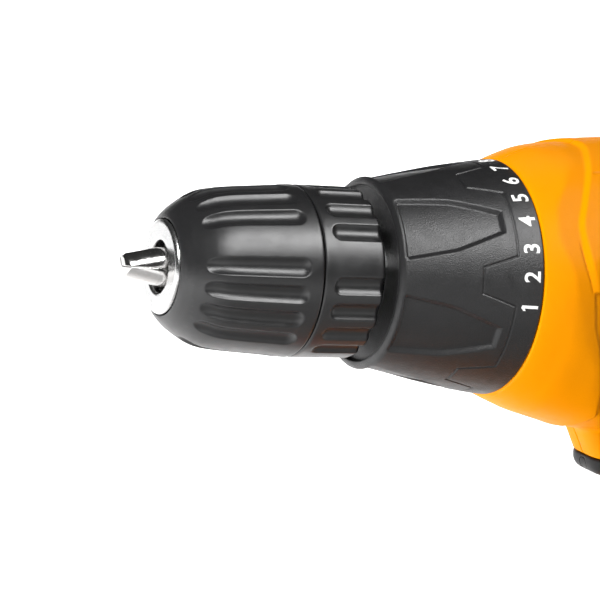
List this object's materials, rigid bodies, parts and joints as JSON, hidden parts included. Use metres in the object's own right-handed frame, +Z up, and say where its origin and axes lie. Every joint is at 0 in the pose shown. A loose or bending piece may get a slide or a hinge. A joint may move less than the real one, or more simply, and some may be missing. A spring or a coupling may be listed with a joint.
{
  "type": "cordless drill driver",
  "caption": "Cordless drill with two-sleeve keyless chuck, numbered torque collar, planetary gearbox, pistol grip, trigger and slide-on battery pack.",
  "frame": {"origin": "centre of the bounding box at the bottom face of the battery pack", "axes": "-X forward along the spindle towards the chuck jaws, +Y to the tool's right-hand side, +Z up"},
  "size_m": [0.1926, 0.074, 0.1926],
  "materials": {
    "yellow": "satin",
    "black_plastic": "fine-grain matte",
    "rubber": "soft matte",
    "steel": "machined",
    "jaw_steel": "polished",
    "zinc": "die cast",
    "spring_steel": "drawn wire",
    "brass": "machined",
    "magnet": "ground ferrite",
    "winding": "enamelled copper",
    "nylon": "moulded",
    "red_plastic": "moulded",
    "lens": "clear moulded",
    "cell_wrap": "shrink film",
    "nickel": "nickel plate",
    "board": "solder mask",
    "carbon": "carbon"
  },
  "bodies": {
    "drill": {"housing_left": "yellow", "housing_right": "yellow", "grip_left": "rubber", "grip_right": "rubber", "housing_screws": "steel", "light_bezel": "black_plastic", "light_lens": "lens", "terminal_block": "black_plastic", "wiring": "red_plastic", "switch_body": "black_plastic", "clip_inserts": "brass", "gearbox_front": "black_plastic", "gearbox_case": "nylon", "ring_gear_front": "steel", "motor_plate": "steel", "gearbox_screws": "steel", "motor_can": "nickel", "motor_magnets": "magnet", "motor_end_cap": "black_plastic", "carbon_brushes": "carbon", "front_bearing": "jaw_steel", "clutch_balls": "jaw_steel", "clutch_washer": "steel", "clutch_spring": "spring_steel", "trigger_spring": "spring_steel"},
    "chuck": {"chuck_body": "steel", "rear_sleeve": "black_plastic", "chuck_screw": "steel", "nut_balls": "jaw_steel", "output_spindle": "steel"},
    "sleeve": {"front_sleeve": "black_plastic", "jaw_nut": "steel"},
    "jaw_a": {"jaw_1": "jaw_steel"},
    "jaw_b": {"jaw_2": "jaw_steel"},
    "jaw_c": {"jaw_3": "jaw_steel"},
    "collar": {"torque_collar": "black_plastic"},
    "nut": {"clutch_nut": "black_plastic"},
    "reducer": {"rear_carrier": "steel"},
    "rotor": {"motor_pinion": "steel", "armature": "winding", "motor_fan": "nylon"},
    "shifter": {"ring_gear_rear": "steel", "shift_fork": "spring_steel"},
    "selector": {"speed_selector": "black_plastic"},
    "trigger": {"trigger": "black_plastic"},
    "lever": {"direction_lever": "black_plastic"},
    "battery": {"battery_base": "black_plastic", "battery_lid": "black_plastic", "battery_cells": "cell_wrap", "battery_contacts": "nickel", "battery_board": "board", "battery_screws": "steel", "button_springs": "spring_steel"},
    "button": {"battery_button": "yellow"},
    "planet_f1": {"planet_front_1": "steel"},
    "planet_f2": {"planet_front_2": "steel"},
    "planet_f3": {"planet_front_3": "steel"},
    "planet_r1": {"planet_rear_1": "steel"},
    "planet_r2": {"planet_rear_2": "steel"},
    "planet_r3": {"planet_rear_3": "steel"}
  },
  "joints": [
    {"name": "chuck_spin", "type": "hinge", "parent": "drill", "child": "chuck", "pos_m": [0, 0, 0.158], "axis": [1, 0, 0], "continuous": true},
    {"name": "sleeve_turn", "type": "hinge", "parent": "chuck", "child": "sleeve", "pos_m": [0, 0, 0.158], "axis": [1, 0, 0], "range_deg": [0, 4960.8]},
    {"name": "jaw_a_slide", "type": "slide", "parent": "chuck", "child": "jaw_a", "axis": [0.9703, -0.1022, 0.2193], "range_m": [0, 0.02067]},
    {"name": "jaw_b_slide", "type": "slide", "parent": "chuck", "child": "jaw_b", "axis": [0.9703, -0.1388, -0.1982], "range_m": [0, 0.02067]},
    {"name": "jaw_c_slide", "type": "slide", "parent": "chuck", "child": "jaw_c", "axis": [0.9703, 0.241, -0.0211], "range_m": [0, 0.02067]},
    {"name": "collar_turn", "type": "hinge", "parent": "drill", "child": "collar", "pos_m": [0, 0, 0.158], "axis": [1, 0, 0], "range_deg": [-94.5, 148.5]},
    {"name": "clutch_nut_slide", "type": "slide", "parent": "collar", "child": "nut", "axis": [1, 0, 0], "range_m": [-0.00316, 0.00496], "deforming": ["clutch_spring"]},
    {"name": "planet_f1_spin", "type": "hinge", "parent": "chuck", "child": "planet_f1", "pos_m": [-0.00665, 0, 0.16745], "axis": [1, 0, 0], "continuous": true},
    {"name": "planet_f2_spin", "type": "hinge", "parent": "chuck", "child": "planet_f2", "pos_m": [-0.00665, -0.00818, 0.15327], "axis": [1, 0, 0], "continuous": true},
    {"name": "planet_f3_spin", "type": "hinge", "parent": "chuck", "child": "planet_f3", "pos_m": [-0.00665, 0.00818, 0.15327], "axis": [1, 0, 0], "continuous": true},
    {"name": "reducer_spin", "type": "hinge", "parent": "drill", "child": "reducer", "pos_m": [0, 0, 0.158], "axis": [1, 0, 0], "continuous": true},
    {"name": "planet_r1_spin", "type": "hinge", "parent": "reducer", "child": "planet_r1", "pos_m": [0.00395, 0, 0.16745], "axis": [1, 0, 0], "continuous": true},
    {"name": "planet_r2_spin", "type": "hinge", "parent": "reducer", "child": "planet_r2", "pos_m": [0.00395, -0.00818, 0.15327], "axis": [1, 0, 0], "continuous": true},
    {"name": "planet_r3_spin", "type": "hinge", "parent": "reducer", "child": "planet_r3", "pos_m": [0.00395, 0.00818, 0.15327], "axis": [1, 0, 0], "continuous": true},
    {"name": "rotor_spin", "type": "hinge", "parent": "drill", "child": "rotor", "pos_m": [0, 0, 0.158], "axis": [1, 0, 0], "continuous": true},
    {"name": "speed_select", "type": "slide", "parent": "drill", "child": "selector", "axis": [-1, 0, 0], "range_m": [0, 0.008]},
    {"name": "shift_ring_slide", "type": "slide", "parent": "drill", "child": "shifter", "axis": [-1, 0, 0], "range_m": [0, 0.003]},
    {"name": "trigger_pull", "type": "slide", "parent": "drill", "child": "trigger", "axis": [1, 0, 0], "range_m": [0, 0.0075], "stiffness_N_per_m": 900, "springref_m": -0.006, "deforming": ["trigger_spring"]},
    {"name": "direction_switch", "type": "slide", "parent": "drill", "child": "lever", "axis": [0, 1, 0], "range_m": [-0.0025, 0.0025]},
    {"name": "battery_slide", "type": "slide", "parent": "drill", "child": "battery", "axis": [-1, 0, 0], "range_m": [0, 0.08]},
    {"name": "button_press", "type": "slide", "parent": "battery", "child": "button", "axis": [0, 0, -1], "range_m": [0, 0.003], "stiffness_N_per_m": 900, "springref_m": -0.004, "deforming": ["button_springs"]}
  ],
  "couplings": [
    {"joint": "jaw_a_slide", "follows": "sleeve_turn", "m_per_rad": 0.00023873},
    {"joint": "jaw_b_slide", "follows": "sleeve_turn", "m_per_rad": 0.00023873},
    {"joint": "jaw_c_slide", "follows": "sleeve_turn", "m_per_rad": 0.00023873},
    {"joint": "clutch_nut_slide", "follows": "collar_turn", "m_per_rad": 0.0019099},
    {"joint": "planet_f1_spin", "follows": "chuck_spin", "ratio": -2.5},
    {"joint": "planet_f2_spin", "follows": "chuck_spin", "ratio": -2.5},
    {"joint": "planet_f3_spin", "follows": "chuck_spin", "ratio": -2.5},
    {"joint": "reducer_spin", "follows": "chuck_spin", "ratio": 6},
    {"joint": "planet_r1_spin", "follows": "chuck_spin", "ratio": -15},
    {"joint": "planet_r2_spin", "follows": "chuck_spin", "ratio": -15},
    {"joint": "planet_r3_spin", "follows": "chuck_spin", "ratio": -15},
    {"joint": "rotor_spin", "follows": "chuck_spin", "ratio": 36},
    {"joint": "shift_ring_slide", "follows": "speed_select", "ratio": 0.375}
  ]
}
